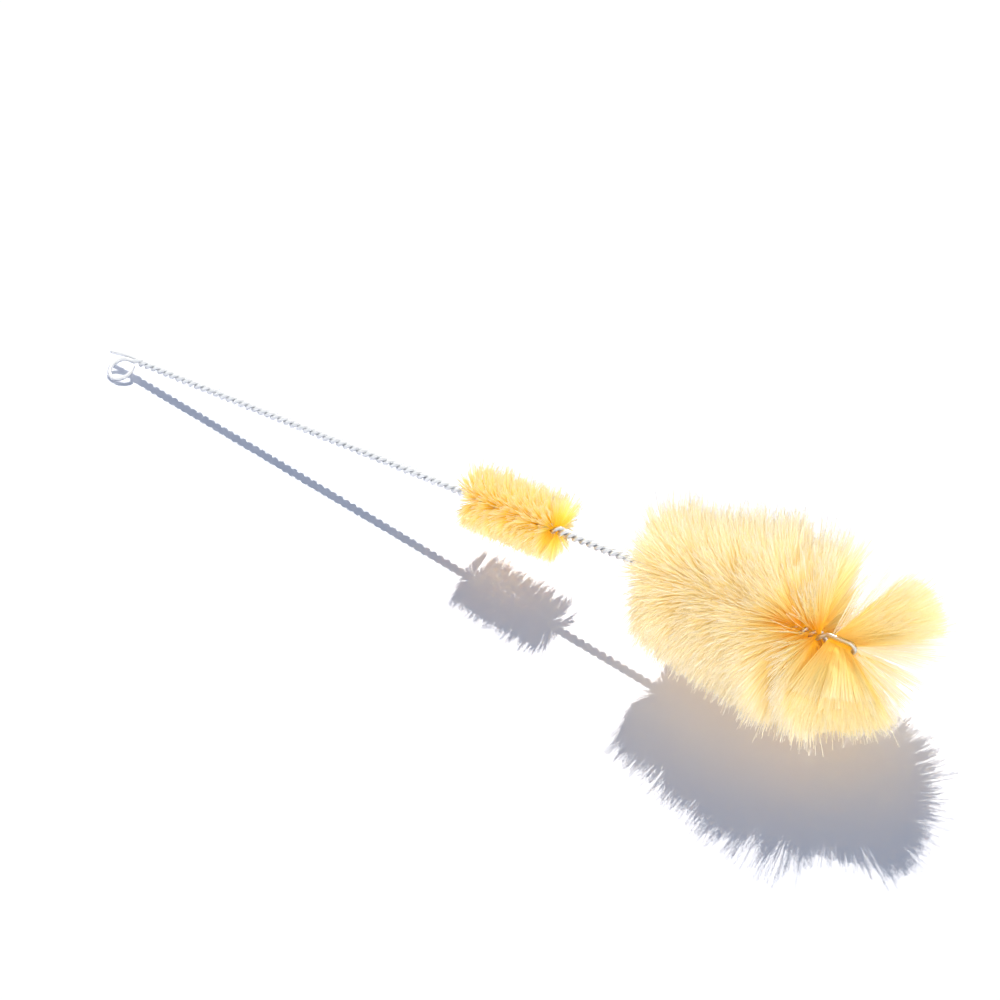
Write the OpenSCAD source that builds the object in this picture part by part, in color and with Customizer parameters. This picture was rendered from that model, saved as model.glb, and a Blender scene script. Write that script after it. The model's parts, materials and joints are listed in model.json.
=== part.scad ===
// Bottle brush of twisted wire, with a narrow tuft for the neck of a bottle and a wide one for its inside.
// One wire is folded in two at the tip, twisted along the stem and bent into an eye at the handle.
// The brush lies as it comes to rest: on its eye and on the widest end of the body tuft.

/* [Wire] */
// Diameter of the wire
wire_d = 1.9; // [1.2:0.1:3]
// Wanted length of one full turn of the two strands
twist_pitch = 7.6; // [6:0.1:14]
// Room between the strands where no bristles lie between them
strand_gap = 0.08; // [0.04:0.01:0.3]

/* [Hanging eye] */
// Clear diameter inside the eye
eye_inner_d = 9.2; // [7:0.1:20]
// Turn of the wire round the eye up to its cut end
eye_turn = 312; // [270:1:315]
// Slope of the eye's plane when the brush lies down
eye_slope = 22; // [5:1:40]
// Straight wire between the twist and the eye
eye_lead = 2; // [1:0.1:6]
// Length of the other strand's cut tail, past the twist
tail_len = 13; // [6:0.5:20]

/* [Bare stem] */
// Bare handle, from the eye to the neck tuft
handle_len = 197; // [60:1:400]
// Bare stem between the two tufts
bare_gap = 56; // [10:1:150]

/* [Neck tuft] */
// Length of the neck tuft along the stem
neck_len = 44; // [10:1:80]
// Diameter of the neck tuft
neck_d = 29; // [15:0.5:50]

/* [Body tuft] */
// Length of the body tuft along the stem
body_len = 74; // [20:1:140]
// Diameter of the body tuft at its handle end
body_handle_d = 62; // [30:1:100]
// Diameter of the body tuft at its tip end
body_tip_d = 88; // [40:1:120]
// How far the floor presses in the widest end of the tuft
floor_press = 3; // [1:0.5:8]

/* [Tip tuft] */
// Length of the straight sides of the loop at the tip
loop_len = 10; // [8:0.5:20]
// Clear width of the loop at the tip
loop_w = 2.6; // [2.2:0.1:6]
// Number of bristle bundles in the loop
tip_bundles = 18; // [6:1:20]
// Length of the tip bristles outside the loop
tip_reach = 40; // [15:1:60]
// Forward lean of the first tip bundle, nearest the handle
tip_lean_first = 8; // [0:1:15]
// Forward lean of the last tip bundle, at the fold of the wire
tip_lean_last = 50; // [40:1:60]

/* [Bristle bundles] */
// Angle round the stem from each bundle to the next
bundle_angle = 20.6; // [18:0.1:40]
// Thickness of the bundles where the strands clamp them
bundle_waist = 0.5; // [0.3:0.05:0.8]
// Room between a bundle and each strand
bundle_clear = 0.06; // [0.05:0.01:0.2]
// Share of the stem's length that the bundles fill where they are clamped
bundle_fill = 0.66; // [0.4:0.02:0.7]
// Angle at which a bundle spreads round the stem
bundle_spread = 11; // [6:0.5:12]
// Angle at which a bundle spreads along the stem
bundle_flare = 2.6; // [1:0.1:2.8]

/* [Hidden] */
wire_colour = [0.80, 0.81, 0.82];
neck_colour = [0.97, 0.80, 0.42];
bristle_colour = [0.98, 0.87, 0.60];

// Facets of the wire: sides of its section, and sections in a turn of the twist, the loop and the eye
sides = 6;
turn_sections = 6;
loop_sections = 6;
eye_sections = 20;
tail_sections = 4;

// Distances of a strand's centre from the stem's axis
wire_r = wire_d / 2;
bare_r = wire_r + strand_gap / 2;
clamp_r = wire_r + bundle_waist / 2 + bundle_clear;
loop_r = wire_r + loop_w / 2;
eye_r = wire_r + eye_inner_d / 2;

// Places along the stem, from the start of the twist at the eye
ease_len = twist_pitch / 2;
neck_start = handle_len;
neck_end = neck_start + neck_len;
body_start = neck_end + bare_gap;
body_end = body_start + body_len;
twist_end = body_end + ease_len;
loop_end = twist_end + loop_len;

// The strands start level with the eye's plane and end with the loop upright
start_angle = 180 + eye_slope;
loop_angle = 90;
part_turn = (start_angle - loop_angle) / 360;
full_len = twist_end - ease_len;
turns = round(full_len / twist_pitch - part_turn) + part_turn;
pitch = full_len / turns;
bundle_step = pitch * bundle_angle / 360;
bundle_axial = bundle_step * bundle_fill;

// Rises from 0 to 1 between a and b with no corner
function ease(x, a, b) =
    let (t = min(1, max(0, (x - a) / (b - a))))
    t * t * (3 - 2 * t);

// 1 between a and b, falling to 0 within one ease length outside them
function stretch(x, a, b) = ease(x, a - ease_len, a) * (1 - ease(x, b, b + ease_len));

// Turns of the twist up to x: it starts and stops gently
function turns_at(x) =
    x <= 0 ? 0
    : x < ease_len ? x * x / (2 * ease_len * pitch)
    : x < twist_end - ease_len ? (x - ease_len / 2) / pitch
    : x < twist_end ? turns - (twist_end - x) * (twist_end - x) / (2 * ease_len * pitch)
    : turns;

// Turn of the strands for each millimetre of stem
function twist_rate(x) =
    let (gentle = min(1, max(0, min(x, twist_end - x) / ease_len)))
    360 * gentle / pitch;

// The lay is left-hand, so the angle falls towards the tip
function strand_angle(x) = start_angle - 360 * turns_at(x);

// Distance of a strand's centre from the axis: wider where bristles lie between, widest in the loop
function strand_r(x) =
    bare_r
    + (clamp_r - bare_r) * (stretch(x, neck_start, neck_end) + stretch(x, body_start, loop_end + ease_len))
    + (loop_r - clamp_r) * ease(x, body_end, twist_end + ease_len / 2);

function across(angle) = [0, cos(angle), sin(angle)];

// A section of wire: centre, half axis away from the stem, half axis to the side
function section(c, n, b) = [for (k = [0:sides - 1]) c + cos(360 * k / sides) * n + sin(360 * k / sides) * b];

// A section of a strand of the twist, cut square to the stem, so it is drawn out by the strand's slant
function strand_section(x, side, heading) =
    let (
        angle = strand_angle(x) + (side > 0 ? 0 : 180),
        r = strand_r(x),
        slant = atan(r * twist_rate(x) * PI / 180)
    )
    section(
        [x, 0, 0] + r * across(angle),
        wire_r * across(angle),
        -heading * wire_r / cos(slant) * across(angle + 90)
    );

eye_side = across(start_angle);
stem_way = [1, 0, 0];
twist_sections = round(turns * turn_sections);
twist_step = loop_end / twist_sections;

// The tail of the second strand, bent a little towards the eye
tail_bend = wire_r * 1.6;
tail_path = [
    for (k = [0:tail_sections - 1])
    let (t = 1 - k / tail_sections)
    section(
        -tail_len * t * stem_way + (tail_bend * t * t - bare_r) * eye_side,
        -wire_r * eye_side,
        wire_r * cross(stem_way, eye_side)
    )
];
out_path = [for (k = [0:twist_sections]) strand_section(k * twist_step, -1, 1)];
back_path = [for (k = [twist_sections:-1:0]) strand_section(k * twist_step, 1, -1)];

// The fold of the wire round the end of the loop
loop_side = across(strand_angle(loop_end) + 180);
fold_path = [
    for (k = [1:loop_sections - 1])
    let (
        turn = 180 * k / loop_sections,
        outward = cos(turn) * loop_side + sin(turn) * stem_way
    )
    section(loop_end * stem_way + loop_r * outward, wire_r * outward, wire_r * cross(loop_side, stem_way))
];

// The eye, one round turn of the first strand beside the stem's line
eye_centre = -eye_lead * stem_way + (bare_r + eye_r) * eye_side;
eye_path = [
    for (k = [0:eye_sections])
    let (
        turn = eye_turn * k / eye_sections,
        inward = sin(turn) * stem_way + cos(turn) * eye_side
    )
    section(eye_centre - eye_r * inward, wire_r * inward, wire_r * cross(stem_way, eye_side))
];

wire_path = concat(tail_path, out_path, fold_path, back_path, eye_path);

// How the brush lies: the tilt that sets down the eye and the wide end of the body tuft
function tilted(p, tilt) = [p.x * cos(tilt) - p.z * sin(tilt), p.y, p.x * sin(tilt) + p.z * cos(tilt)];
eye_height = wire_r + (bare_r + 2 * eye_r) * sin(eye_slope);
wide_height = body_tip_d / 2 - floor_press;
rest_tilt = asin((wide_height - eye_height) / body_end);
wire_points = [for (ring = wire_path, p = ring) tilted(p, rest_tilt)];
rest_lift = -min([for (p = wire_points) p.z]);

// How far a bundle can reach from the stem at x, towards an angle, before the floor stops it
spread_slope = tan(bundle_spread / 2);
flare_slope = tan(bundle_flare / 2);
function reach(x, angle, wanted) =
    let (
        side = abs(cos(angle)) * cos(rest_tilt),
        root = rest_lift + x * sin(rest_tilt) - side * bundle_waist / 2 - bundle_axial / 2 * sin(rest_tilt),
        fall = spread_slope * side + flare_slope * sin(rest_tilt) - sin(angle) * cos(rest_tilt)
    )
    fall > 0 ? min(wanted, root / fall) : wanted;

// A three-cornered section of a bundle: centre, half axis round the stem, half axis along it
bundle_sides = 3;
function corners(c, w, a) = [c - w - a, c + w - a, c + a];

// Half width of a bundle round the stem and along it, at a distance from the stem's axis
function half_wide(r) = bundle_waist / 2 + r * spread_slope;
function half_long(r) = bundle_axial / 2 + r * flare_slope;

function straight_section(x, angle, r) =
    corners(x * stem_way + r * across(angle), half_wide(r) * across(angle + 90), half_long(r) * stem_way);

// A bundle right across the stem: trimmed end, clamped middle, trimmed end
function straight_bundle(x, r) =
    let (
        angle = strand_angle(x) + 90,
        far = reach(x, angle, r),
        near = reach(x, angle + 180, r)
    )
    [straight_section(x, angle, far),
     corners(x * stem_way, bundle_waist / 2 * across(angle + 90), bundle_axial / 2 * stem_way),
     corners(x * stem_way - near * across(angle), half_wide(near) * across(angle + 90), half_long(near) * stem_way)];

// Bundles one after another along the stem, with a radius that runs evenly from the first to the last
function tuft(start, len, first_r, last_r) =
    let (count = floor(len / bundle_step))
    [for (k = [0:count - 1])
        let (t = (k + 0.5) / count)
        straight_bundle(start + t * len, first_r + (last_r - first_r) * t)];

// The tip bundles lie in the loop one behind another, lean further forwards and fan out to both sides
tip_step = (loop_len + loop_r / 2) / tip_bundles;
tip_axial = tip_step * bundle_fill * cos(tip_lean_last);
bend_len = wire_r + bundle_waist;
fan_far = [-42, 20];
fan_near = [-66, 8];
golden_share = 0.618;

// A section of a tip bundle at r past its bend; the sign picks the side of the loop
function leaning_section(x, sign, lean, fan, r) =
    let (
        side_angle = loop_angle - 90 * sign,
        angle = side_angle + sign * fan,
        bend = x * stem_way + bend_len * across(side_angle),
        way = cos(lean) * across(angle) + sin(lean) * stem_way,
        share = r > 0 ? 1 : 0.5,
        long_lean = share * lean,
        wide_angle = side_angle + sign * share * fan
    )
    corners(
        bend + r * way,
        half_wide(r) * sign * across(wide_angle + 90),
        (tip_axial / 2 + r * flare_slope) * (cos(long_lean) * stem_way - sin(long_lean) * across(wide_angle))
    );

function tip_bundle(k) =
    let (
        x = twist_end + (k + 0.5) * tip_step,
        lean = tip_lean_first + (tip_lean_last - tip_lean_first) * k / max(1, tip_bundles - 1),
        share = (k * golden_share) % 1,
        far = fan_far[0] + (fan_far[1] - fan_far[0]) * share,
        near = fan_near[0] + (fan_near[1] - fan_near[0]) * share
    )
    [leaning_section(x, 1, lean, far, tip_reach),
     leaning_section(x, 1, lean, far, 0),
     corners(x * stem_way, bundle_waist / 2 * across(loop_angle), tip_axial / 2 * stem_way),
     leaning_section(x, -1, lean, near, 0),
     leaning_section(x, -1, lean, near, tip_reach)];

neck_bundles = tuft(neck_start, neck_len, neck_d / 2, neck_d / 2);
body_bundles = tuft(body_start, body_len, body_handle_d / 2, body_tip_d / 2);
fan_bundles = [for (k = [0:tip_bundles - 1]) tip_bundle(k)];

// The middle of the brush's length stands over the origin
fan_points = [for (bundle = fan_bundles, ring = bundle, p = ring) tilted(p, rest_tilt)];
back_x = min([for (p = wire_points) p.x]);
front_x = max([for (p = concat(wire_points, fan_points)) p.x]);
middle_x = (back_x + front_x) / 2;
function laid(p) = tilted(p, rest_tilt) + [-middle_x, 0, rest_lift];

// Triangles of a tube through rings of n points, its ends closed, with its points counted from first.
// On the side that faces the other strand the diagonals run the other way, so the strands stay apart.
function tube_faces(rings, n, first) = concat(
    [for (k = [1:n - 2]) [first, first + k + 1, first + k]],
    [for (j = [0:rings - 2], k = [0:n - 1])
        let (
            a = first + j * n + k,
            b = first + j * n + (k + 1) % n,
            inner = abs(2 * k + 1 - n) < 2
        )
        each inner ? [[a, b, b + n], [a, b + n, a + n]] : [[a, b, a + n], [b, b + n, a + n]]],
    [for (k = [1:n - 2]) let (last = first + (rings - 1) * n) [last, last + k, last + k + 1]]
);

module swept(path) {
    polyhedron(
        points = [for (ring = path, p = ring) laid(p)],
        faces = tube_faces(len(path), len(path[0]), 0),
        convexity = 10
    );
}

// Bundles that don't touch each other, as one group
module bundle_group(bundles) {
    rings = len(bundles[0]);
    polyhedron(
        points = [for (bundle = bundles, ring = bundle, p = ring) laid(p)],
        faces = [for (k = [0:len(bundles) - 1]) each tube_faces(rings, bundle_sides, bundle_sides * rings * k)],
        convexity = 10
    );
}

module stem_wire() { color(wire_colour) swept(wire_path); }
module neck_tuft() { color(neck_colour) bundle_group(neck_bundles); }
module body_tuft() { color(bristle_colour) bundle_group(body_bundles); }
module tip_tuft() { color(bristle_colour) bundle_group(fan_bundles); }

stem_wire();
neck_tuft();
body_tuft();
tip_tuft();
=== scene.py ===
# %% [markdown]
# # A bottle brush of twisted wire
#
# The brush is one zinc-plated wire, folded in two at the tip and twisted. Bristles lie between its two
# strands and stand out all round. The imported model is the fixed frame: it says where everything is and
# how large. It draws the bristles as a few hundred bundles. Here each bristle is drawn by itself, and the
# wire is made round.

# %% Load the frame
import json
import math

import bpy
import numpy as np
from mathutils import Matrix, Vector


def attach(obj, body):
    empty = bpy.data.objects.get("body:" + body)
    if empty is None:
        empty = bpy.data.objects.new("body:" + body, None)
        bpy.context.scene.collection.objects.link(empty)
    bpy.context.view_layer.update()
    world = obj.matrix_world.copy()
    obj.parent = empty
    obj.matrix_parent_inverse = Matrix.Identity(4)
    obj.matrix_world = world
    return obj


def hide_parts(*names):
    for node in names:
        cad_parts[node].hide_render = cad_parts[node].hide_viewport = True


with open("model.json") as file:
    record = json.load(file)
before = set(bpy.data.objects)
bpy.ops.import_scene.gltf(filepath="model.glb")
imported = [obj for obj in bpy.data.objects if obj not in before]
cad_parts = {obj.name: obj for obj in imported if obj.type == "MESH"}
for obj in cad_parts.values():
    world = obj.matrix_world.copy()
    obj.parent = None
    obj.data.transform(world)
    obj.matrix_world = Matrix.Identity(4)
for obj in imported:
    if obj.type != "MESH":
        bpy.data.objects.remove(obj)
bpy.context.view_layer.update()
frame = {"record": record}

# %% [markdown]
# ## The brush's own line
#
# It is easiest to think of the brush as lying along the X axis, with x counted in millimetres from the
# start of the twist at the eye. A last step tilts it and sets it down where the frame has it. The tilt
# follows from what the brush rests on: its eye at one end and the widest bristles at the other. The
# frame's record says where the centre of the eye is, so the place needs no fitting. Angles round the stem
# are counted from the far side upwards: 90 degrees is the top, 180 the near side and 270 underneath.

# %% Sizes that set the tilt, in millimetres
MM = 0.001
WIRE_R = 0.95
BARE_GAP = 0.04
BARE_R = WIRE_R + BARE_GAP
EYE_CLEAR_R = 4.6
EYE_R = WIRE_R + EYE_CLEAR_R
EYE_LEAD = 2.0
EYE_SLOPE = math.radians(22)
BODY_END, BODY_TIP_R = 371.0, 44.0
FLOOR_PRESS = 3.0
STEM_WAY = np.array([1.0, 0.0, 0.0])


def across(angle):
    """Unit vectors square to the stem: the cosine of the angle to the far side, and its sine upwards."""
    angle = np.asarray(angle, float)
    return np.stack([np.zeros_like(angle), np.cos(angle), np.sin(angle)], -1)


# %% From the stem's own frame to the row frame
START_ANGLE = math.pi + EYE_SLOPE
eye_centre = -EYE_LEAD * STEM_WAY + (BARE_R + EYE_R) * across(START_ANGLE)
eye_height = WIRE_R + (BARE_R + 2 * EYE_R) * math.sin(EYE_SLOPE)
rest_tilt = math.asin((BODY_TIP_R - FLOOR_PRESS - eye_height) / BODY_END)
TILT = np.array([
    [math.cos(rest_tilt), 0, -math.sin(rest_tilt)],
    [0, 1, 0],
    [math.sin(rest_tilt), 0, math.cos(rest_tilt)],
])
eye_mount = next(m for m in frame["record"]["mounts"] if m["name"] == "hanging_eye")
SHIFT = np.array(eye_mount["pos_m"]) / MM - TILT @ eye_centre


def laid(points):
    """Points of the stem's own frame, turned by the tilt and shifted, still in millimetres."""
    return points @ TILT.T + SHIFT


print("tilt of the stem, degrees:", round(math.degrees(rest_tilt), 3))
print("start of the twist, mm:", laid(0 * STEM_WAY).round(2))

# %% [markdown]
# ## Putting arrays into a mesh
#
# A mesh is three lists: points, the corners of each face, and where each face starts in that list. A
# Python loop over them would be slow. Blender can take all three as whole arrays with foreach_set, which
# is quick even for hundreds of thousands of faces. A UV map, and values stored at each point, go in the
# same way.


# %% From arrays to an object
def mesh_piece(name, points_mm, corners, sizes, flat=False, attributes=None, uv=None):
    """A mesh object at the origin. It takes points, the faces' corners one after another, and each face's
    number of corners. Faces are shaded smooth unless flat is asked for."""
    mesh = bpy.data.meshes.new(name)
    mesh.vertices.add(len(points_mm))
    mesh.vertices.foreach_set("co", (points_mm * MM).astype(np.float32).ravel())
    mesh.loops.add(len(corners))
    mesh.loops.foreach_set("vertex_index", corners.astype(np.int32))
    mesh.polygons.add(len(sizes))
    starts = np.concatenate([[0], np.cumsum(sizes)[:-1]])
    mesh.polygons.foreach_set("loop_start", starts.astype(np.int32))
    if uv is not None:
        mesh.uv_layers.new(name="UVMap").uv.foreach_set("vector", uv.astype(np.float32).ravel())
    for attribute, values in (attributes or {}).items():
        layer = mesh.attributes.new(attribute, "FLOAT", "POINT")
        layer.data.foreach_set("value", values.astype(np.float32).ravel())
    mesh.update(calc_edges=True)
    if flat:
        mesh.shade_flat()
    piece = bpy.data.objects.new(name, mesh)
    bpy.context.scene.collection.objects.link(piece)
    print(name, "points:", len(points_mm), "faces:", len(sizes), "triangles:", int((sizes - 2).sum()))
    return piece


# %% [markdown]
# ## The wire's line
#
# One wire makes the whole stem. Its line starts at the cut tail, runs out as one strand of the twist,
# folds round at the tip, runs back as the other strand and ends in the eye. The lay is left-hand, so the
# angle of a strand falls as x grows. The strands lie close together on the bare stem, and a little apart
# where bristles are clamped between them. The twist starts and stops gently, as it does when a wire is
# wound by hand. A curve object with a round bevel could draw it too. Arrays are used because the bristles
# need the same angles.

# %% Places, gaps and pitch, in millimetres
NECK_START, NECK_END = 197.0, 241.0
BODY_START = 297.0
EASE_LEN = 3.8
TWIST_END = BODY_END + EASE_LEN
LOOP_LEN = 10.0
LOOP_END = TWIST_END + LOOP_LEN
CLAMP_GAP, LOOP_GAP = 0.31, 1.3
CLAMP_R = WIRE_R + CLAMP_GAP
LOOP_R = WIRE_R + LOOP_GAP

# Whole turns, and the part of a turn that leaves the loop upright.
PITCH_ABOUT = 7.6
PART_TURN = (START_ANGLE - math.pi / 2) / (2 * math.pi)
TURNS = round(BODY_END / PITCH_ABOUT - PART_TURN) + PART_TURN
PITCH = BODY_END / TURNS
print("turns of the twist:", round(TURNS, 2), "pitch:", round(PITCH, 3), "mm")


# %% The twist as functions of x
def ease(x, a, b):
    """Rises from 0 at a to 1 at b, by 3t squared less 2t cubed, with no corner."""
    t = np.clip((x - a) / (b - a), 0, 1)
    return t * t * (3 - 2 * t)


def stretch(x, a, b):
    """1 between a and b, easing to 0 outside them: one rise times what another leaves of 1."""
    return ease(x, a - EASE_LEN, a) * (1 - ease(x, b, b + EASE_LEN))


def strand_angle(x):
    """The first strand's angle: the start angle less the turns so far. They are x over the pitch, except that
    they gather speed and slow down evenly at the two ends, by a square of x."""
    x = np.clip(x, 0, TWIST_END)
    start = np.minimum(x, EASE_LEN)
    end = np.minimum(TWIST_END - x, EASE_LEN)
    turns = (x - EASE_LEN / 2 + (EASE_LEN - start) ** 2 / (2 * EASE_LEN)) / PITCH
    turns -= (EASE_LEN - end) ** 2 / (2 * EASE_LEN * PITCH)
    return START_ANGLE - 2 * math.pi * turns


def strand_r(x):
    """Distance of a strand's centre from the stem's axis: that of the bare stem, more where bristles are
    clamped, and more again where the loop opens."""
    clamped = stretch(x, NECK_START, NECK_END) + stretch(x, BODY_START, LOOP_END + EASE_LEN)
    opened = ease(x, BODY_END, TWIST_END + EASE_LEN / 2)
    return BARE_R + (CLAMP_R - BARE_R) * clamped + (LOOP_R - CLAMP_R) * opened


print("first strand at the loop, degrees:", round(math.degrees(strand_angle(TWIST_END)) % 360, 1))

# %% [markdown]
# A round wire is a circle carried along that line. Each stretch below gives two arrays: the centres, and
# at each centre a direction from which the circle is measured. It points away from the stem, and in the
# eye towards the eye's centre. The stretches are joined end to end, so the wire is one closed surface
# from cut to cut.

# %% The tail and the two strands
RINGS_PER_TURN = 22
TAIL_LEN, TAIL_RISE, TAIL_RINGS = 13.0, 1.6 * WIRE_R, 16
eye_side = across(START_ANGLE)

tail_t = np.linspace(1, 0, TAIL_RINGS, endpoint=False)[:, None]
tail_line = -TAIL_LEN * tail_t * STEM_WAY + (TAIL_RISE * tail_t ** 2 - BARE_R) * eye_side
tail_out = np.repeat(-eye_side[None], len(tail_t), 0)

helix_x = np.linspace(0, LOOP_END, int(TURNS * RINGS_PER_TURN * LOOP_END / TWIST_END))
second_out = across(strand_angle(helix_x) + math.pi)
second_line = helix_x[:, None] * STEM_WAY + strand_r(helix_x)[:, None] * second_out
first_out = across(strand_angle(helix_x[::-1]))
first_line = helix_x[::-1, None] * STEM_WAY + strand_r(helix_x[::-1])[:, None] * first_out
print("rings on each strand:", len(helix_x))

# %% The fold, the eye and the whole line
FOLD_RINGS = 18
EYE_TURN, EYE_RINGS = math.radians(312), 56

fold_turn = np.linspace(0, math.pi, FOLD_RINGS + 2)[1:-1, None]
fold_out = np.cos(fold_turn) * second_out[-1] + np.sin(fold_turn) * STEM_WAY
fold_line = LOOP_END * STEM_WAY + LOOP_R * fold_out

eye_turn = np.linspace(0, EYE_TURN, EYE_RINGS)[:, None]
eye_out = np.sin(eye_turn) * STEM_WAY + np.cos(eye_turn) * eye_side
eye_line = eye_centre - EYE_R * eye_out

wire_line = np.concatenate([tail_line, second_line, fold_line, first_line, eye_line])
wire_out = np.concatenate([tail_out, second_out, fold_out, first_out, eye_out])
steps = np.linalg.norm(np.diff(wire_line, axis=0), axis=1)
wire_run = np.concatenate([[0], np.cumsum(steps)])
print("length of the wire:", round(wire_run[-1]), "mm in", len(wire_line), "rings")


# %% A circle carried along a line
def swept_tube(line, outward, radius, sides):
    """Points on a grid of rings by sides: line + radius * (cos v * outward + sin v * sideways).
    Outward is first made square to the line, and sideways is square to both."""
    way = np.gradient(line, axis=0)
    way /= np.linalg.norm(way, axis=1, keepdims=True)
    outward = outward - (outward * way).sum(1, keepdims=True) * way
    outward /= np.linalg.norm(outward, axis=1, keepdims=True)
    sideways = np.cross(way, outward)
    v = np.linspace(0, 2 * math.pi, sides, endpoint=False)[None, :, None]
    ring = np.cos(v) * outward[:, None] + np.sin(v) * sideways[:, None]
    return line[:, None] + radius[:, None, None] * ring


def tube_faces(rings, sides):
    """The quads of such a grid, from ring to ring, and a closing face at each end, all facing outwards."""
    ring, side = np.meshgrid(np.arange(rings - 1), np.arange(sides), indexing="ij")
    low, high = ring * sides, (ring + 1) * sides
    after = (side + 1) % sides
    quads = np.stack([low + side, low + after, high + after, high + side], -1).reshape(-1, 4)
    first_cap = np.arange(sides)[::-1]
    last_cap = (rings - 1) * sides + np.arange(sides)
    return quads, first_cap, last_cap


# %% [markdown]
# The cut ends of the wire are slightly rounded, as side cutters leave them: the last two rings at each
# end shrink a little. The UV map runs along the wire in u and round it in v, so that the finish can
# follow the wire. The quads that close the circle end at v = 1 and not back at 0, so the map has no seam
# across a face.

# %% The wire as one piece
WIRE_SIDES = 18
CUT_SHRINK, NEXT_SHRINK = 0.72, 0.98
UV_UNIT = 100
wire_r = np.full(len(wire_line), WIRE_R)
wire_r[[0, -1]] *= CUT_SHRINK
wire_r[[1, -2]] *= NEXT_SHRINK
wire_points = swept_tube(wire_line, wire_out, wire_r, WIRE_SIDES)
quads, first_cap, last_cap = tube_faces(len(wire_line), WIRE_SIDES)
corners = np.concatenate([quads.ravel(), first_cap, last_cap])
sizes = np.concatenate([np.full(len(quads), 4), [WIRE_SIDES, WIRE_SIDES]])
ring_of, side_of = corners // WIRE_SIDES, corners % WIRE_SIDES
closing = quads[:, :1] % WIRE_SIDES == WIRE_SIDES - 1
wraps = np.zeros(len(corners))
wraps[:quads.size] = (closing & (quads % WIRE_SIDES == 0)).ravel()
wire_uv = np.stack([wire_run[ring_of] / UV_UNIT, side_of / WIRE_SIDES + wraps], -1)
stem_wire = mesh_piece("stem_wire_round", laid(wire_points.reshape(-1, 3)), corners, sizes, uv=wire_uv)
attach(stem_wire, "root")
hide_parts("stem_wire")

# %% [markdown]
# ## A bristle
#
# A bristle lies right across the stem. The strands hold it in the middle, and both its ends are trimmed.
# Blender's hair curves could draw it, but a plain mesh can be used anywhere. So it is a thin
# three-cornered tube through seven stations: an end, two between, the clamp, two between, the other end.
# Three corners keep thousands of bristles light. Their faces are shaded flat: smooth shading on so few
# corners bends the normals so far that light is lost at every bounce. All bristles of a tuft are worked
# out at once, as arrays of bristles by stations by three.

# %% Sizes shared by all bristles, in millimetres
SEED = 7
rng = np.random.default_rng(SEED)
BRISTLE_R = 0.15
THICKNESS_RANGE = 0.8, 1.2
STATION_SHARE = np.array([0.36, 0.7, 1.0])
STATION_R = np.array([0.75, 1.0, 0.72])
CLAMPED_R = 0.3
BRISTLE_SHARES = np.concatenate([STATION_SHARE[::-1], [0], STATION_SHARE])
BRISTLE_RADII = np.concatenate([STATION_R[::-1], [CLAMPED_R], STATION_R])
SECTION_SIDES = 3
SECTION = 2 * math.pi * np.arange(SECTION_SIDES) / SECTION_SIDES
print("stations of a bristle, as shares of its half length:", BRISTLE_SHARES)


# %% The lines of the bristles
def half_bristles(x, angle, lean, reach, bend):
    """Stations of the halves on one side: x * stem + reach * s * way + bend * s squared * sideways.
    Way leans from square to the stem towards the tip by lean, and s is the share of the length."""
    s = STATION_SHARE[None, :, None]
    way = np.cos(lean)[:, None] * across(angle) + np.sin(lean)[:, None] * STEM_WAY
    sideways = across(angle + math.pi / 2)
    straight = (x[:, None] * STEM_WAY)[:, None] + reach[:, None, None] * s * way[:, None]
    return straight + bend[:, None, None] * s ** 2 * sideways[:, None]


LYING_HEIGHT = 0.15, 1.1
PUSHED_OUT = 0.7
NEAR_STEM = 1.0


def pressed(points, stem_xy):
    """Points below a bristle's lying height are raised to it, and pushed out by a share of what they sank.
    Close to the stem the push fades out."""
    height = rng.uniform(*LYING_HEIGHT, points.shape[:1])[:, None]
    sunk = np.maximum(height - points[..., 2], 0)
    outward = points[..., :2] - stem_xy[:, None]
    outward /= np.linalg.norm(outward, axis=-1, keepdims=True) + NEAR_STEM
    points[..., :2] += PUSHED_OUT * sunk[..., None] * outward
    points[..., 2] = np.maximum(points[..., 2], height)
    return points


# %% From lines to a mesh of bristles
def bristle_tubes(line, side_way):
    """Points of bristles by stations by corners: line + thickness * (cos v * side + sin v * over).
    Side and over are square to the bristle's way, and v starts at a random angle."""
    count = len(line)
    way = line[:, -1] - line[:, 0]
    way /= np.linalg.norm(way, axis=1, keepdims=True)
    side = side_way @ TILT.T
    side = side - (side * way).sum(1, keepdims=True) * way
    side /= np.linalg.norm(side, axis=1, keepdims=True)
    over = np.cross(way, side)
    v = SECTION[None] + rng.uniform(0, 2 * math.pi, (count, 1))
    ring = np.cos(v)[..., None] * side[:, None] + np.sin(v)[..., None] * over[:, None]
    thickness = BRISTLE_R * rng.uniform(*THICKNESS_RANGE, (count, 1)) * BRISTLE_RADII
    return line[:, :, None] + thickness[..., None, None] * ring[:, None]


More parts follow.
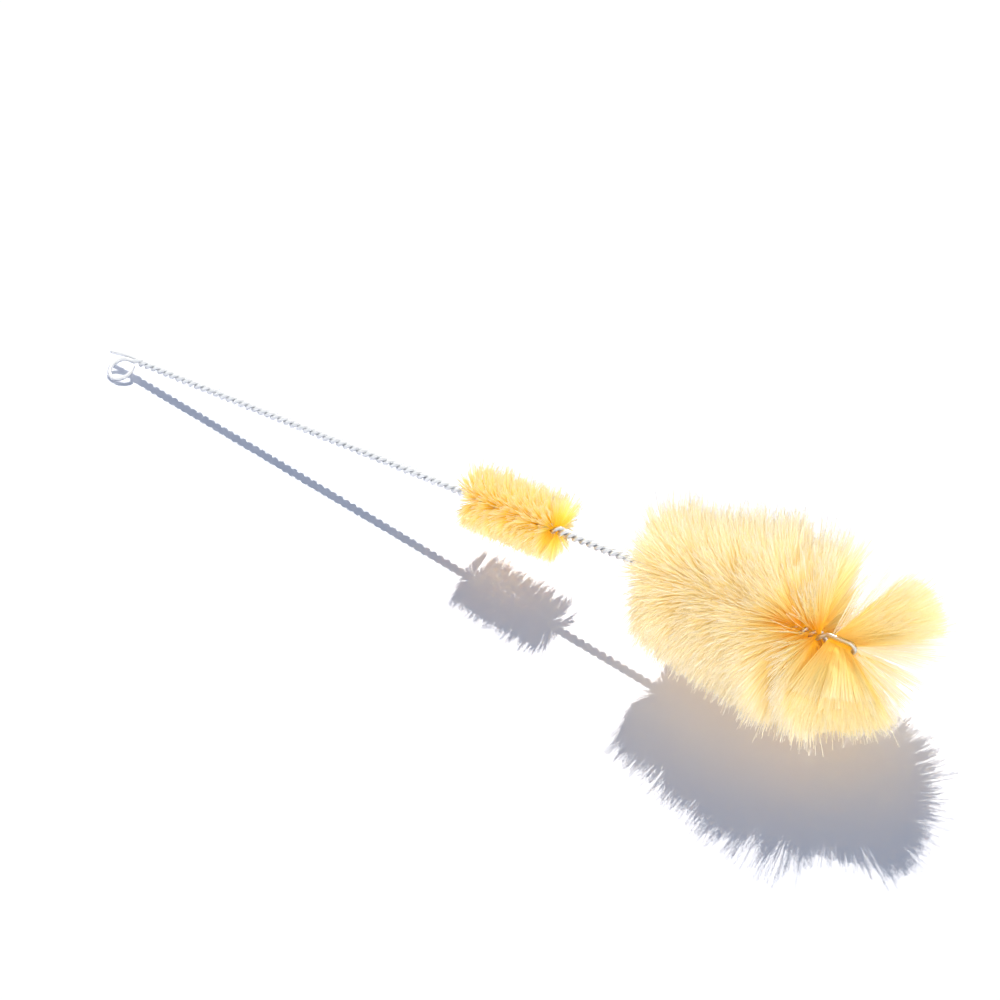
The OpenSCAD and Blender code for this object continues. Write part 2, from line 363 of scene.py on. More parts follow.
def bristle_piece(name, near, middle, far, side_way, shift_out_of_painted_shade=0.0):
    """One mesh of bristles from their near stations, clamped middles and far stations. Its attribute along is
    the share of the half length plus a shift, and places the bristle on the ramp from painted shade to
    painted light. Its attribute shade is a random number for each bristle."""
    line = np.concatenate([near[:, ::-1], middle[:, None], far], 1)
    line = pressed(laid(line), laid(middle)[:, :2])
    count, stations = line.shape[:2]
    points = bristle_tubes(line, side_way)
    quads, first_cap, last_cap = tube_faces(stations, SECTION_SIDES)
    caps = np.stack([first_cap, last_cap])
    first = SECTION_SIDES * stations * np.arange(count)[:, None, None]
    corners = np.concatenate([(quads + first).ravel(), (caps + first).ravel()])
    sizes = np.concatenate([np.full(count * len(quads), 4), np.full(2 * count, SECTION_SIDES)])
    along = np.minimum(BRISTLE_SHARES + shift_out_of_painted_shade, 1)
    shade = rng.uniform(0, 1, count)
    grid = (count, stations, SECTION_SIDES)
    attributes = {
        "along": np.broadcast_to(along[..., None], grid),
        "shade": np.broadcast_to(shade[:, None, None], grid),
    }
    piece = mesh_piece(name, points.reshape(-1, 3), corners, sizes, True, attributes)
    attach(piece, "root")
    return piece


# %% [markdown]
# ## Straight tufts
#
# Where the wire is twisted, the slot between the strands turns with it, so the bristles stand in a double
# spiral. At any angle round the stem there is a row every half turn, which shows as the little spikes at
# the tuft's edge. Bristles don't stand perfectly straight. Neighbours sway together, so a slow wave over
# the tuft is added to the scatter of each one. Their ends gather into clumps, and handling parts them
# here and there. Trimming leaves few at the full length, so the edge is soft. Each of these habits is a
# small function, so that a tuft is a sum of them and any one can be changed alone.


# %% Sides and partings
def facing(angle, degrees):
    """1 for bristles that point to an angle round the stem, falling as a cosine to 0 a quarter turn away."""
    return np.maximum(np.cos(angle - math.radians(degrees)), 0)


PARTING_STEEPNESS = 6
PARTING_WIDTH_ROUND = 0.85


def parting(x, middle, width):
    """-1 just before a place and 1 just after it, fading over a width: a steep tanh times a bell curve."""
    away_from = (x - middle) / width
    return np.tanh(PARTING_STEEPNESS * away_from) * np.exp(-away_from ** 2)


def parting_round(angle, degrees):
    """The same for an angle round the stem, which is first brought within half a turn of the parting."""
    from_parting = (angle - math.radians(degrees) + math.pi) % (2 * math.pi) - math.pi
    return parting(from_parting, 0, PARTING_WIDTH_ROUND)


# %% Sway, clumps and trim
SWAY_WAVES = 9
SWAY_LENGTHS = 7, 30
SWAY_MOST_TURNS = 7
CLUMPS_PER_TURN = 30
CLUMP_MIDDLE = 0.3, 0.7
LONGEST = 1.14


def sway(x, angle):
    """A slow random wave over the tuft, mostly from -1 to 1: a sum of sines of x and of whole turns of the
    angle, over the root of their number."""
    lengths = rng.uniform(*SWAY_LENGTHS, SWAY_WAVES)
    counts = rng.integers(-SWAY_MOST_TURNS, SWAY_MOST_TURNS + 1, SWAY_WAVES)
    phases = rng.uniform(0, 2 * math.pi, SWAY_WAVES)
    wave = np.sin(2 * math.pi * x[:, None] / lengths + counts * angle[:, None] + phases)
    return wave.sum(1) / math.sqrt(SWAY_WAVES)


def clump_of(angle):
    """Each bristle's clump, counted along the spiral, and the angle from the bristle to its clump's middle.
    A clump is a fixed share of a turn, and its middle is a random place in it."""
    place = (angle - angle.min()) * CLUMPS_PER_TURN / (2 * math.pi)
    clump = np.floor(place).astype(int)
    middle = rng.uniform(*CLUMP_MIDDLE, clump.max() + 1)[clump]
    return clump, (clump + middle - place) * 2 * math.pi / CLUMPS_PER_TURN


def trimmed(least, tail):
    """Shares of the full reach: the least, and a tail that thins out by 1 / e with each step of its length.
    The few above the longest are drawn again, evenly."""
    share = least + rng.exponential(tail)
    return np.where(share < LONGEST, share, rng.uniform(least, LONGEST))


# %% A tuft across the twisted stem
UNDERNEATH = 235
TRIM_LEAST, TRIM_LEAST_UNDER = 0.75, 0.16
TRIM_TAIL, TRIM_TAIL_UNDER = 0.12, 0.08
LOOSE_ANGLE = math.radians(7)
STRAY = 0.7
BEND = 0.06


def straight_tuft(name, x, lean_of, reach_of, scatter_of, pull_of, turn_of, split=1):
    """Pieces of bristles across the stem at places x, dealt out in turn. Lean, its scatter and the turn
    round the stem, in degrees, reach and the pull into clumps are functions of x and the angle.
    Underneath, where they are least ruffled, the trim is more even."""
    slot_angle = strand_angle(x) + math.pi / 2
    halves = []
    for turned in (math.pi, 0):
        angle = slot_angle + turned
        clump, to_middle = clump_of(angle)
        pull = pull_of(x, angle)
        angle = angle + pull * to_middle + (1 - pull) * rng.normal(0, LOOSE_ANGLE, len(x))
        angle = angle + np.radians(turn_of(x, angle))
        under = facing(angle, UNDERNEATH)
        trim = trimmed(TRIM_LEAST + TRIM_LEAST_UNDER * under, TRIM_TAIL - TRIM_TAIL_UNDER * under)
        reach = reach_of(x, angle) * trim
        stray = STRAY * rng.normal(0, 1, clump.max() + 1)[clump] + STRAY * rng.normal(0, 1, len(x))
        lean = np.radians(lean_of(x, angle) + scatter_of(x, angle) * stray)
        bend = reach * rng.normal(0, BEND, len(x))
        halves.append(half_bristles(x, angle, lean, reach, bend))
    side_way = across(slot_angle + math.pi / 2)
    middle = x[:, None] * STEM_WAY
    pieces = []
    for k in range(split):
        part = slice(k, None, split)
        label = f"{name}_{k + 1}" if split > 1 else name
        pieces.append(bristle_piece(label, halves[0][part], middle[part], halves[1][part], side_way[part]))
    return pieces


# %% [markdown]
# ### The neck tuft
#
# The short tuft that cleans the neck of a bottle is trimmed to one diameter. Its upper bristles stand a
# little longer than those underneath, and a shallow parting runs along it on the upper near side, where
# the bristles are turned away from each other round the stem. One row of bristles could be copied along
# the twist, but every copy would show. Here each bristle has its own place, so no two rows are alike.

# %% Neck bristles
NECK_COUNT = 3000
NECK_R = 14.5
NECK_SPARE, NECK_TOP_LONGER = 0.4, 0.8
NECK_END_LEAN, NECK_SWAY = 5, 3
NECK_SCATTER, NECK_PULL = 2.2, 0.65
NECK_TURN, NECK_PARTING = 6, 145
neck_x = np.sort(rng.uniform(NECK_START, NECK_END, NECK_COUNT))


def neck_lean(x, angle):
    """Degrees: sway, and the last bristles at each end lean outwards by a cube of the distance."""
    t = (x - NECK_START) / (NECK_END - NECK_START)
    return NECK_END_LEAN * (2 * t - 1) ** 3 + NECK_SWAY * sway(x, angle)


def neck_reach(x, angle):
    """One radius with some to spare for the trim, a little more on top by the sine of the angle."""
    return NECK_R + NECK_SPARE + NECK_TOP_LONGER * np.sin(angle)


neck_bristles = straight_tuft(
    "neck_bristles", neck_x, neck_lean, neck_reach,
    scatter_of=lambda x, angle: NECK_SCATTER,
    pull_of=lambda x, angle: NECK_PULL,
    turn_of=lambda x, angle: NECK_TURN * parting_round(angle, NECK_PARTING))
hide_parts("neck_tuft")

# %% [markdown]
# ### The body tuft
#
# The wide tuft is trimmed to a cone. Its upper bristles at the handle end have been brushed back towards
# the handle, and those underneath are pushed forwards where the floor presses on them. Near the tip end
# the bristles part: along the stem into a few upright streaks, and round it into a crease on the upper
# near side. A smooth cone with a hair texture would be lighter, but its edge and its shadow would be
# smooth too.

# %% How the body bristles lean
BODY_HANDLE_R, BODY_SPARE = 31.0, 0.5
BODY_SWAY, BODY_SWAY_LESS = 3.0, 2.2
END_SPLAY = 4

# Each lean is in degrees, with the angle round the stem that has most of it.
BRUSHED_BACK = -20, 85
NEAR_FORWARDS = 4, 205
PRESSED_FORWARDS = 8, 250
FAR_SIDE_BACK = -24, 10
NEAR_PARTED, TOP_PARTED = (10, 200), (17, 70)
TOP_CREASE = 7, 100

# Partings along the stem: the distance from an end of the tuft, and the width.
END_PARTING_AT, END_PARTING_WIDTH = 8.5, 8
TOP_CREASE_AT, TOP_CREASE_WIDTH = 21, 6


def body_share(x):
    """How far along the tuft x is, from 0 at the handle end to 1 at the tip end."""
    return (x - BODY_START) / (BODY_END - BODY_START)


def leaning(angle, lean, degrees):
    """A lean times how far the bristles face an angle."""
    return lean * facing(angle, degrees)


def body_lean(x, angle):
    """Degrees: a sum of leans, each growing with a power of the distance from the other end, and sway."""
    t = body_share(x)
    lean = (1 - t) ** 2 * leaning(angle, *BRUSHED_BACK) + (1 - t) * leaning(angle, *NEAR_FORWARDS)
    lean += END_SPLAY * t ** 3 + t * leaning(angle, *PRESSED_FORWARDS)
    lean += t ** 3 * leaning(angle, *FAR_SIDE_BACK)
    end_parting = parting(x, BODY_END - END_PARTING_AT, END_PARTING_WIDTH)
    lean += end_parting * (leaning(angle, *NEAR_PARTED) + leaning(angle, *TOP_PARTED))
    lean += parting(x, BODY_START + TOP_CREASE_AT, TOP_CREASE_WIDTH) * leaning(angle, *TOP_CREASE)
    return lean + (BODY_SWAY - BODY_SWAY_LESS * facing(angle, UNDERNEATH)) * sway(x, angle)


# %% Body bristles
BODY_COUNT, BODY_PIECES = 12600, 3
BODY_SCATTER, BODY_SCATTER_LESS = 4.5, 3.7
BODY_PULL, BODY_PULL_MORE = 0.58, 0.32
PULLED_TOP, PULLED_UNDER = 65, 245
BODY_TURN, BODY_TURN_MORE, BODY_PARTING = 2, 24, 140
TURN_FROM, TURN_TO = 18, 6
body_x = np.sort(rng.uniform(BODY_START, BODY_END, BODY_COUNT))


def body_reach(x, angle):
    """The cone's radius at x, with some to spare for the uneven trim."""
    return BODY_SPARE + BODY_HANDLE_R + (BODY_TIP_R - BODY_HANDLE_R) * body_share(x)


def body_scatter(x, angle):
    """Degrees of lean: less underneath, on the near side."""
    return BODY_SCATTER - BODY_SCATTER_LESS * facing(angle, UNDERNEATH)


def body_pull(x, angle):
    """Clumps get tighter at the top and underneath, by a cube of the share of the length."""
    sides = facing(angle, PULLED_TOP) + facing(angle, PULLED_UNDER)
    return BODY_PULL + BODY_PULL_MORE * body_share(x) ** 3 * sides


def body_turn(x, angle):
    """Degrees round the stem, away from a parting, slight along the tuft and strong at the tip end."""
    at_tip = ease(x, BODY_END - TURN_FROM, BODY_END - TURN_TO)
    return (BODY_TURN + BODY_TURN_MORE * at_tip) * parting_round(angle, BODY_PARTING)


body_bristles = straight_tuft(
    "body_bristles", body_x, body_lean, body_reach, body_scatter, body_pull, body_turn, split=BODY_PIECES)
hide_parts("body_tuft")

# %% [markdown]
# ### The tip fan
#
# The last bristles lie in the loop at the tip, one behind another. With no twist to hold them they lean
# forwards and fall apart into groups. On the far side most of them stand together as a wedge, and most of
# the others hang below it as thin strands. All tip bristles sit deeper on the colour ramp, in more painted
# shade, golden as in a crease, except the outer halves of the far bristles outside the wedge, which are
# painted light, nearly white. On the near side they gather into spikes, and a fifth of them point down to
# the floor. One formula for the whole fan would look too even, so each group has its own range of angles.
# A fan is counted in degrees above the horizontal, and a lean in degrees towards the tip.

# %% Half of the tip bristles
TIP_COUNT = 2600
TIP_REACH = 40.0
BEND_AT = 1.45
TIP_SHARE = np.array([0.0, 0.55, 1.0])
TIP_LEAST, TIP_TAIL = 0.9, 0.04
TIP_LEAN_SCATTER = 1.5
CLUMP_UNEVENNESS = 0.25
tip_x = np.sort(rng.uniform(TWIST_END, LOOP_END + LOOP_R / 2, TIP_COUNT))
tip_t = (tip_x - tip_x[0]) / (tip_x[-1] - tip_x[0])


def clumped(low, high, clumps, spread):
    """Random angles in degrees: one of a few evenly spread middles, and a normal spread round it."""
    uneven = (high - low) / clumps * CLUMP_UNEVENNESS
    middles = np.linspace(low, high, clumps) + rng.normal(0, uneven, clumps)
    return rng.choice(middles, TIP_COUNT) + rng.normal(0, spread, TIP_COUNT)


def tip_half(sign, lean, fan, longer):
    """Stations of the tip bristles on one side: out of the loop to the bend, then bend + reach * share * way.
    Way is turned up by the fan and leans to the tip. Sign is 1 for the far side and -1 for the near one."""
    side_angle = math.pi / 2 * (1 - sign)
    lean = np.radians(lean + rng.normal(0, TIP_LEAN_SCATTER, TIP_COUNT))
    angle = side_angle + sign * np.radians(fan)
    trim = trimmed(np.full(TIP_COUNT, TIP_LEAST), np.full(TIP_COUNT, TIP_TAIL))
    reach = TIP_REACH * longer * trim
    bend_point = tip_x[:, None] * STEM_WAY + BEND_AT * across(side_angle)
    way = np.cos(lean)[:, None] * across(angle) + np.sin(lean)[:, None] * STEM_WAY
    return bend_point[:, None] + reach[:, None, None] * TIP_SHARE[None, :, None] * way[:, None]


# %% The wedge, on the far side
WEDGE_SHARE = 0.76
WEDGE_FROM, WEDGE_TO, WEDGE_CROWDING = -5, 105, 1.4
WEDGE_LEAN, WEDGE_LEAN_UP, WEDGE_LEAST_UP = 48, 18, 42
group = rng.uniform(0, 1, TIP_COUNT)
in_wedge = group < WEDGE_SHARE
wedge_fan = WEDGE_FROM + (WEDGE_TO - WEDGE_FROM) * rng.uniform(0, 1, TIP_COUNT) ** WEDGE_CROWDING
wedge_up = np.sin(np.radians(wedge_fan))
most_lean = WEDGE_LEAN + WEDGE_LEAN_UP * wedge_up
least_lean = WEDGE_LEAST_UP * wedge_up
wedge_lean = most_lean - rng.uniform(0, 1, TIP_COUNT) * (most_lean - least_lean)
print("bristles in the wedge:", int(in_wedge.sum()))

# %% Thin, low and loose strands, on the far side
THIN_SHARE, LOW_SHARE = 0.11, 0.1
THIN_FROM, THIN_TO, THIN_CLUMPS, THIN_SPREAD = -84, -14, 14, 1.2
THIN_LEAN, THIN_LEAN_MORE = 22, 18
LOW_FROM, LOW_TO, LOW_CLUMPS, LOW_SPREAD = -64, -8, 10, 1.6
LOW_LEAN = 0, 26
LOOSE_FAN = 20, 60
LOOSE_LEAN, LOOSE_LEAN_MORE = 12, 20
WEDGE_LONGER, THIN_LONGER, LOW_LONGER, LOOSE_LONGER = 1.02, 1.1, 1.14, 0.95
in_thin = group < WEDGE_SHARE + THIN_SHARE
in_low = group < WEDGE_SHARE + THIN_SHARE + LOW_SHARE
far_groups = [in_wedge, in_thin, in_low]
thin_fan = clumped(THIN_FROM, THIN_TO, THIN_CLUMPS, THIN_SPREAD)
thin_lean = THIN_LEAN + THIN_LEAN_MORE * ((thin_fan - THIN_FROM) / (THIN_TO - THIN_FROM)) ** 2
low_fan = clumped(LOW_FROM, LOW_TO, LOW_CLUMPS, LOW_SPREAD)
low_lean = rng.uniform(*LOW_LEAN, TIP_COUNT)
loose_fan = rng.uniform(*LOOSE_FAN, TIP_COUNT)
loose_lean = LOOSE_LEAN + LOOSE_LEAN_MORE * tip_t
far_fan = np.select(far_groups, [wedge_fan, thin_fan, low_fan], loose_fan)
far_lean = np.select(far_groups, [wedge_lean, thin_lean, low_lean], loose_lean)
far_longer = np.select(far_groups, [WEDGE_LONGER, THIN_LONGER, LOW_LONGER], LOOSE_LONGER)
print("bristles below and beside it:", int((~in_wedge).sum()))

# %% Spikes and downward bristles, on the near side
DOWN_SHARE = 0.2
DOWN_FROM, DOWN_TO, DOWN_CLUMPS, DOWN_SPREAD = -135, -65, 9, 2.0
DOWN_LEAN = -4, 30
SPIKE_FROM, SPIKE_TO, SPIKES, SPIKE_SPREAD = -66, 2, 7, 1.1
SPIKE_LEAN, SPIKE_LEAN_MORE = 8, 42
down = rng.uniform(0, 1, TIP_COUNT) < DOWN_SHARE
down_fan = clumped(DOWN_FROM, DOWN_TO, DOWN_CLUMPS, DOWN_SPREAD)
spike_fan = clumped(SPIKE_FROM, SPIKE_TO, SPIKES, SPIKE_SPREAD)
near_fan = np.where(down, down_fan, spike_fan)
near_lean = np.where(down, rng.uniform(*DOWN_LEAN, TIP_COUNT), SPIKE_LEAN + SPIKE_LEAN_MORE * tip_t)
print("bristles that point down:", int(down.sum()))

# %% The tip bristles as one piece
NEAR_LONGER = 0.9
# Shifts along the colour ramp: the whole tip gets more painted shade, and the outer halves of the far
# bristles outside the wedge get painted light.
TIP_MORE_PAINTED_SHADE, STRAND_LESS_PAINTED_SHADE = -0.15, 0.5
FAR_STATIONS = len(STATION_SHARE) + 1
shift_out_of_painted_shade = np.full((TIP_COUNT, len(BRISTLE_SHARES)), TIP_MORE_PAINTED_SHADE)
shift_out_of_painted_shade[~in_wedge, FAR_STATIONS:] = STRAND_LESS_PAINTED_SHADE
near_half = tip_half(-1, near_lean, near_fan, NEAR_LONGER)
far_half = tip_half(1, far_lean, far_fan, far_longer)
tip_side = np.repeat(across(math.pi / 2)[None], TIP_COUNT, 0)
tip_bristles = bristle_piece(
    "tip_bristles", near_half, tip_x[:, None] * STEM_WAY, far_half, tip_side, shift_out_of_painted_shade)
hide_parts("tip_tuft")

# %% [markdown]
# ## Bristle finish
#
# Light goes through a pale bristle, so the tuft glows, and its colour is deepest where it is thickest.
# Subsurface scattering suits thicker things. Here half of the light is reflected and half passes through,
# which a Principled shader mixed with a Translucent one gives. Colour runs from golden at the clamp to
# nearly white at the cut ends: painted shade for the crowded middle of the tuft, and painted light on its
# outer ends. Each bristle is also deepened a little by its own random amount. Both come from the
# attributes stored in the mesh. The colours are written paler than the tuft looks, because light that
# passes several bristles takes on their colour several times.

# %% Bristle material
# The ramp's golden root is painted shade, and its near white end is painted light.
ROOT_AT, MIDDLE_AT, END_AT = 0.12, 0.5, 1.0
DEEPEST_TINT = 1.0, 0.96, 0.84, 1
BRISTLE_ROUGHNESS, BRISTLE_SPECULAR = 0.45, 0.35
THROUGH_SHARE = 0.5


def node(tree, kind, **settings):
    """A new node with its properties set."""
    made = tree.nodes.new(kind)
    for key, value in settings.items():
        setattr(made, key, value)
    return made


def bristle_colour(tree, root, middle, end):
    """The socket of a ramp along the bristle, from painted shade at the clamp to painted light at the ends,
    times a tint as far as its shade says.
    """
    along = node(tree, "ShaderNodeAttribute", attribute_name="along")
    shade = node(tree, "ShaderNodeAttribute", attribute_name="shade")
    ramp = node(tree, "ShaderNodeValToRGB")
    ramp.color_ramp.elements[0].position = ROOT_AT
    ramp.color_ramp.elements[0].color = (*root, 1)
    ramp.color_ramp.elements[1].position = END_AT
    ramp.color_ramp.elements[1].color = (*end, 1)
    ramp.color_ramp.elements.new(MIDDLE_AT).color = (*middle, 1)
    deepened = node(tree, "ShaderNodeMix", data_type="RGBA", blend_type="MULTIPLY")
    deepened.inputs["B"].default_value = DEEPEST_TINT
    tree.links.new(along.outputs["Fac"], ramp.inputs["Fac"])
    tree.links.new(shade.outputs["Fac"], deepened.inputs["Factor"])
    tree.links.new(ramp.outputs["Color"], deepened.inputs["A"])
    return deepened.outputs["Result"]


def bristle_finish(name, root, middle, end):
    """A material with the bristle's colour and its painted shade and light, which reflects a share of the
    light and lets the rest through.
    """
    material = bpy.data.materials.new(name)
    material.use_nodes = True
    tree = material.node_tree
    tree.nodes.clear()
    colour = bristle_colour(tree, root, middle, end)
    solid = node(tree, "ShaderNodeBsdfPrincipled")
    solid.inputs["Roughness"].default_value = BRISTLE_ROUGHNESS
    solid.inputs["Specular IOR Level"].default_value = BRISTLE_SPECULAR
    through = node(tree, "ShaderNodeBsdfTranslucent")
    mixed = node(tree, "ShaderNodeMixShader")
    mixed.inputs["Fac"].default_value = THROUGH_SHARE
    output = node(tree, "ShaderNodeOutputMaterial")
    tree.links.new(colour, solid.inputs["Base Color"])
    tree.links.new(colour, through.inputs["Color"])
    tree.links.new(solid.outputs["BSDF"], mixed.inputs[1])
    tree.links.new(through.outputs["BSDF"], mixed.inputs[2])
    tree.links.new(mixed.outputs["Shader"], output.inputs["Surface"])
    return material


# %% Cream and golden bristles
# The cream and golden middles are the bristles' own colours; the deep roots are painted shade and the pale
# ends painted light.
cream_bristle = bristle_finish(
    "cream_bristle", root=(1.0, 0.79, 0.07), middle=(1.0, 0.935, 0.56), end=(1.0, 0.98, 0.95))
golden_bristle = bristle_finish(
    "golden_bristle", root=(1.0, 0.77, 0.03), middle=(1.0, 0.9, 0.21), end=(1.0, 0.965, 0.84))
for piece in [*body_bristles, tip_bristles]:
    piece.data.materials.append(cream_bristle)
for piece in neck_bristles:
    piece.data.materials.append(golden_bristle)
print("bristle finishes:", cream_bristle.name, golden_bristle.name)

# %% [markdown]
# ## Wire finish
#
# Zinc plating on drawn wire is bright and slightly uneven. A plain metal would look like chrome. A fine
# noise stretched along the wire makes the drawing lines: it changes the tint and the roughness a little
# and lifts the surface by a trace. It reads the UV map, so the lines follow the wire round every turn.

# %% Drawing lines
LINES_SCALE = 60, 40, 1
LINES_DETAIL = 3.0
zinc = bpy.data.materials.new("zinc_plated_wire")
zinc.use_nodes = True
tree = zinc.node_tree
uv_map = node(tree, "ShaderNodeUVMap", uv_map="UVMap")
stretched = node(tree, "ShaderNodeMapping")
stretched.inputs["Scale"].default_value = LINES_SCALE
lines = node(tree, "ShaderNodeTexNoise")
lines.inputs["Scale"].default_value = 1.0
lines.inputs["Detail"].default_value = LINES_DETAIL
tree.links.new(uv_map.outputs["UV"], stretched.inputs["Vector"])
tree.links.new(stretched.outputs["Vector"], lines.inputs["Vector"])

# %% Zinc material
ZINC_ROUGHNESS = 0.3, 0.45
ZINC_DARK, ZINC_LIGHT = (0.68, 0.69, 0.71, 1), (0.8, 0.81, 0.82, 1)
BUMP_STRENGTH, BUMP_HEIGHT_M = 0.06, 0.0001
metal = tree.nodes["Principled BSDF"]
metal.inputs["Metallic"].default_value = 1.0
dull = node(tree, "ShaderNodeMapRange")
dull.inputs["To Min"].default_value, dull.inputs["To Max"].default_value = ZINC_ROUGHNESS
tint = node(tree, "ShaderNodeValToRGB")
tint.color_ramp.elements[0].color = ZINC_DARK
tint.color_ramp.elements[1].color = ZINC_LIGHT
bump = node(tree, "ShaderNodeBump")
bump.inputs["Strength"].default_value = BUMP_STRENGTH
bump.inputs["Distance"].default_value = BUMP_HEIGHT_M
for target in (dull.inputs["Value"], tint.inputs["Fac"], bump.inputs["Height"]):
    tree.links.new(lines.outputs["Fac"], target)
tree.links.new(dull.outputs["Result"], metal.inputs["Roughness"])
tree.links.new(tint.outputs["Color"], metal.inputs["Base Color"])
tree.links.new(bump.outputs["Normal"], metal.inputs["Normal"])
stem_wire.data.materials.append(zinc)
print("wire finish:", zinc.name)

# %% [markdown]
# ## The floor
#
# The brush lies on a white sheet. Enough light to turn the sheet pure white would wash out the bristles.
# So the paper also glows a little, but only for rays from the camera, from reflections and through clear
# things, which Light Path tells apart. The light on the brush stays as it is, and the sheet keeps the
# shadow.

# %% Floor
FLOOR_HALF = 6.0
floor_corners = [(x * FLOOR_HALF, y * FLOOR_HALF, 0) for x, y in [(-1, -1), (1, -1), (1, 1), (-1, 1)]]
floor_mesh = bpy.data.meshes.new("floor")
floor_mesh.from_pydata(floor_corners, [], [(0, 1, 2, 3)])
floor = bpy.data.objects.new("floor", floor_mesh)
bpy.context.scene.collection.objects.link(floor)
print("floor, metres across:", 2 * FLOOR_HALF)

# %% White paper
PAPER_COLOUR = 0.9, 0.9, 0.9, 1
PAPER_GLOW, GLOW_COLOUR = 0.25, (0.66, 0.7, 0.96, 1)
paper = bpy.data.materials.new("white_paper")
paper.use_nodes = True
tree = paper.node_tree
tree.nodes.clear()
matt = node(tree, "ShaderNodeBsdfDiffuse")
matt.inputs["Color"].default_value = PAPER_COLOUR
path = node(tree, "ShaderNodeLightPath")
seen = node(tree, "ShaderNodeMath", operation="MAXIMUM")
seen_any = node(tree, "ShaderNodeMath", operation="MAXIMUM")
lift = node(tree, "ShaderNodeMath", operation="MULTIPLY")
lift.inputs[1].default_value = PAPER_GLOW
glow = node(tree, "ShaderNodeEmission")
glow.inputs["Color"].default_value = GLOW_COLOUR
both = node(tree, "ShaderNodeAddShader")
output = node(tree, "ShaderNodeOutputMaterial")
tree.links.new(path.outputs["Is Camera Ray"], seen.inputs[0])
tree.links.new(path.outputs["Is Glossy Ray"], seen.inputs[1])
tree.links.new(seen.outputs[0], seen_any.inputs[0])
tree.links.new(path.outputs["Is Transmission Ray"], seen_any.inputs[1])
tree.links.new(seen_any.outputs[0], lift.inputs[0])
tree.links.new(lift.outputs[0], glow.inputs["Strength"])
tree.links.new(matt.outputs["BSDF"], both.inputs[0])
tree.links.new(glow.outputs["Emission"], both.inputs[1])
tree.links.new(both.outputs["Shader"], output.inputs["Surface"])
floor_mesh.materials.append(paper)
print("floor finish:", paper.name)

# %% [markdown]
# ## The lamps
#
# The sun stands behind the brush and high up, so the shadow falls towards the viewer, and the viewer's
# side of the bristles is in their own shade. One sun strong enough for the floor would also clip the
# bristles' tops to white. Light linking lets a lamp light only the pieces in its receiver collection. So
# the floor and the wire have the full sun, and the bristles have a gentler one, a wide fill along the
# view, and a weak glow without shadows that reaches in between them.

# %% Directions of view and sun
VIEW_AZIMUTH, VIEW_HEIGHT = math.radians(39.03), math.radians(38.0)
SUN_HEIGHT, SUN_TO_RIGHT = math.radians(47.0), math.radians(5.0)
right = np.array([math.cos(VIEW_AZIMUTH), math.sin(VIEW_AZIMUTH), 0])
away = np.array([-math.sin(VIEW_AZIMUTH), math.cos(VIEW_AZIMUTH), 0])
up = np.array([0, 0, 1.0])
to_sun = math.cos(SUN_TO_RIGHT) * away + math.sin(SUN_TO_RIGHT) * right
view_way = math.cos(VIEW_HEIGHT) * away - math.sin(VIEW_HEIGHT) * up
sun_way = -(math.cos(SUN_HEIGHT) * to_sun + math.sin(SUN_HEIGHT) * up)
print("sunlight travels along:", sun_way.round(3))


# %% Lamps
def aim(obj, direction):
    """Turns a lamp or camera so that it looks along a direction."""
    obj.rotation_euler = Vector(direction).to_track_quat("-Z", "Y").to_euler()


def far_lamp(name, strength, width, shadow, direction, color, receivers):
    """A sun lamp that shines along a direction on its receivers only, with its apparent width in degrees."""
    data = bpy.data.lights.new(name, "SUN")
    data.energy = strength
    data.angle = math.radians(width)
    data.use_shadow = shadow
    data.color = color
    lamp = bpy.data.objects.new(name, data)
    bpy.context.scene.collection.objects.link(lamp)
    aim(lamp, direction)
    lamp.light_linking.receiver_collection = receivers


plain = bpy.data.collections.new("plain")
bristles = bpy.data.collections.new("bristles")
for piece in [floor, stem_wire]:
    plain.objects.link(piece)
for piece in [*neck_bristles, *body_bristles, tip_bristles]:
    bristles.objects.link(piece)

SUN_STRENGTH, SUN_COLOUR = 3.7, (1.0, 0.97, 0.95)
GENTLE_STRENGTH, GENTLE_COLOUR = 2.0, (1.0, 0.96, 0.98)
FILL_STRENGTH, GLOW_STRENGTH, FILL_COLOUR = 3.4, 0.36, (0.98, 1.0, 0.95)
SUN_WIDTH, FILL_WIDTH = 0.5, 40
far_lamp("sun", SUN_STRENGTH, SUN_WIDTH, True, sun_way, SUN_COLOUR, plain)
far_lamp("sun_on_bristles", GENTLE_STRENGTH, SUN_WIDTH, True, sun_way, GENTLE_COLOUR, bristles)
far_lamp("fill", FILL_STRENGTH, FILL_WIDTH, True, view_way, FILL_COLOUR, bristles)
far_lamp("glow", GLOW_STRENGTH, FILL_WIDTH, False, view_way, FILL_COLOUR, bristles)

# %% [markdown]
# ## The sky
#
# An even sky fills the shadow with a faint blue, as open air does. A bright wire mirrors its
# surroundings, and here they are white, so reflections see a brighter, white sky. Light passes from
# bristle to bristle many times, so more bounces are allowed than usual. The light tree is meant for many
# lamps, and with four it is off.

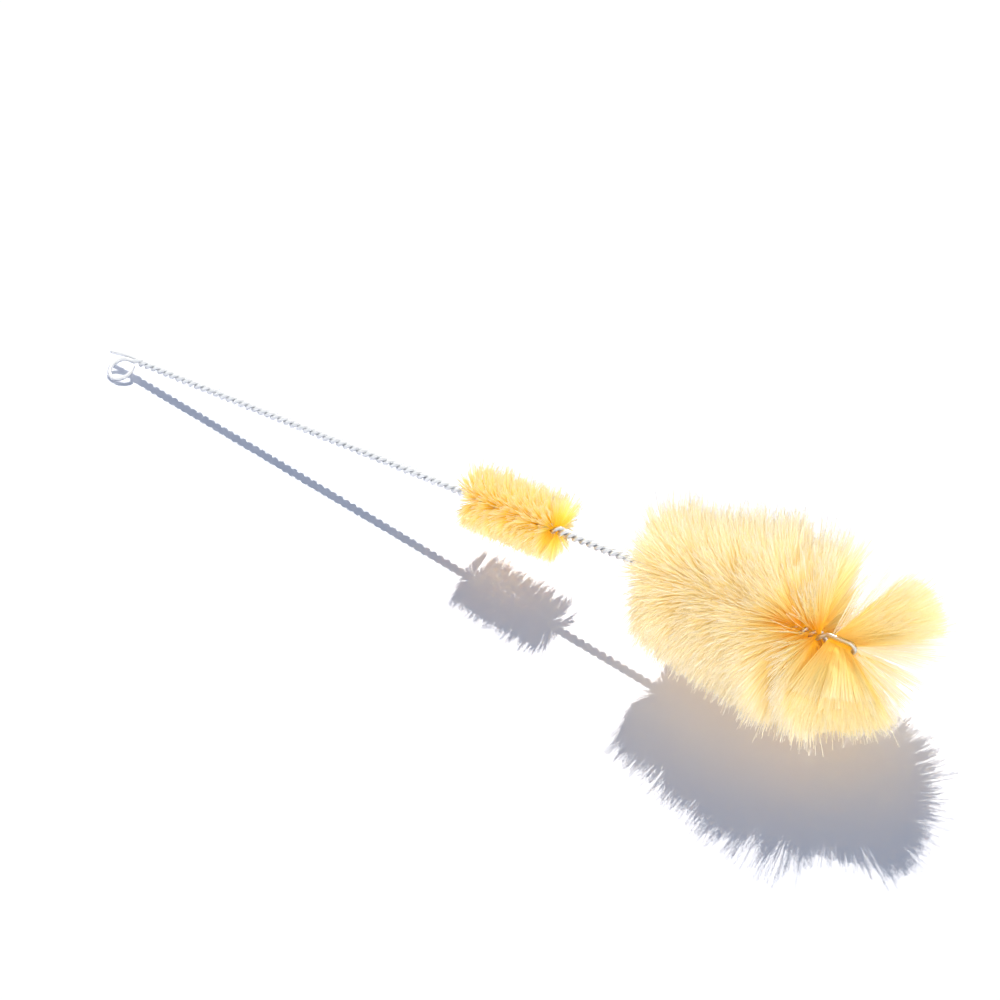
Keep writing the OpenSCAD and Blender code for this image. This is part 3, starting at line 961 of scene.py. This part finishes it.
# %% Sky and bounces
SKY_COLOUR, MIRRORED_COLOUR = (0.55, 0.75, 1.0, 1), (1.0, 1.0, 1.0, 1)
SKY_STRENGTH, MIRRORED_STRENGTH = 0.2, 1.2
BOUNCES, DIFFUSE_BOUNCES = 20, 12
world = bpy.data.worlds.new("sky")
world.use_nodes = True
bpy.context.scene.world = world
tree = world.node_tree
sky = tree.nodes["Background"]
path = node(tree, "ShaderNodeLightPath")
hue = node(tree, "ShaderNodeMix", data_type="RGBA")
hue.inputs["A"].default_value = SKY_COLOUR
hue.inputs["B"].default_value = MIRRORED_COLOUR
brightness = node(tree, "ShaderNodeMapRange")
brightness.inputs["To Min"].default_value = SKY_STRENGTH
brightness.inputs["To Max"].default_value = MIRRORED_STRENGTH
tree.links.new(path.outputs["Is Glossy Ray"], hue.inputs["Factor"])
tree.links.new(path.outputs["Is Glossy Ray"], brightness.inputs["Value"])
tree.links.new(hue.outputs["Result"], sky.inputs["Color"])
tree.links.new(brightness.outputs["Result"], sky.inputs["Strength"])
cycles = bpy.context.scene.cycles
cycles.use_light_tree = False
cycles.max_bounces = BOUNCES
cycles.diffuse_bounces = DIFFUSE_BOUNCES
cycles.transmission_bounces = BOUNCES
print("sky:", world.name, "bounces:", BOUNCES)

# %% [markdown]
# ## The camera
#
# The camera looks down at the brush from the front, with a long lens, so that the far end is hardly
# smaller than the near one. It is placed by the point that it looks at and its distance from there, which
# are easier to adjust than its own position. The lens follows from the focal length in pixels of the
# finished picture.

# %% Camera
LOOKED_AT = np.array([-0.0033, 0.0134, 0.0160])
DISTANCE = 1.5677
FOCAL_PIXELS, FRAME_PIXELS, SENSOR_MM = 3757, 1000, 36.0
camera_data = bpy.data.cameras.new("camera")
camera_data.sensor_width = SENSOR_MM
camera_data.lens = FOCAL_PIXELS * SENSOR_MM / FRAME_PIXELS
camera = bpy.data.objects.new("camera", camera_data)
bpy.context.scene.collection.objects.link(camera)
camera.location = LOOKED_AT - DISTANCE * view_way
aim(camera, view_way)
bpy.context.scene.camera = camera
bpy.context.scene.view_settings.view_transform = "Standard"
print("camera at:", [round(v, 3) for v in camera.location])

# %% [markdown]
# ## Finish
#
# The view layer is brought up to date, so that every piece stands where it was put.

# %% Finish
bpy.context.view_layer.update()
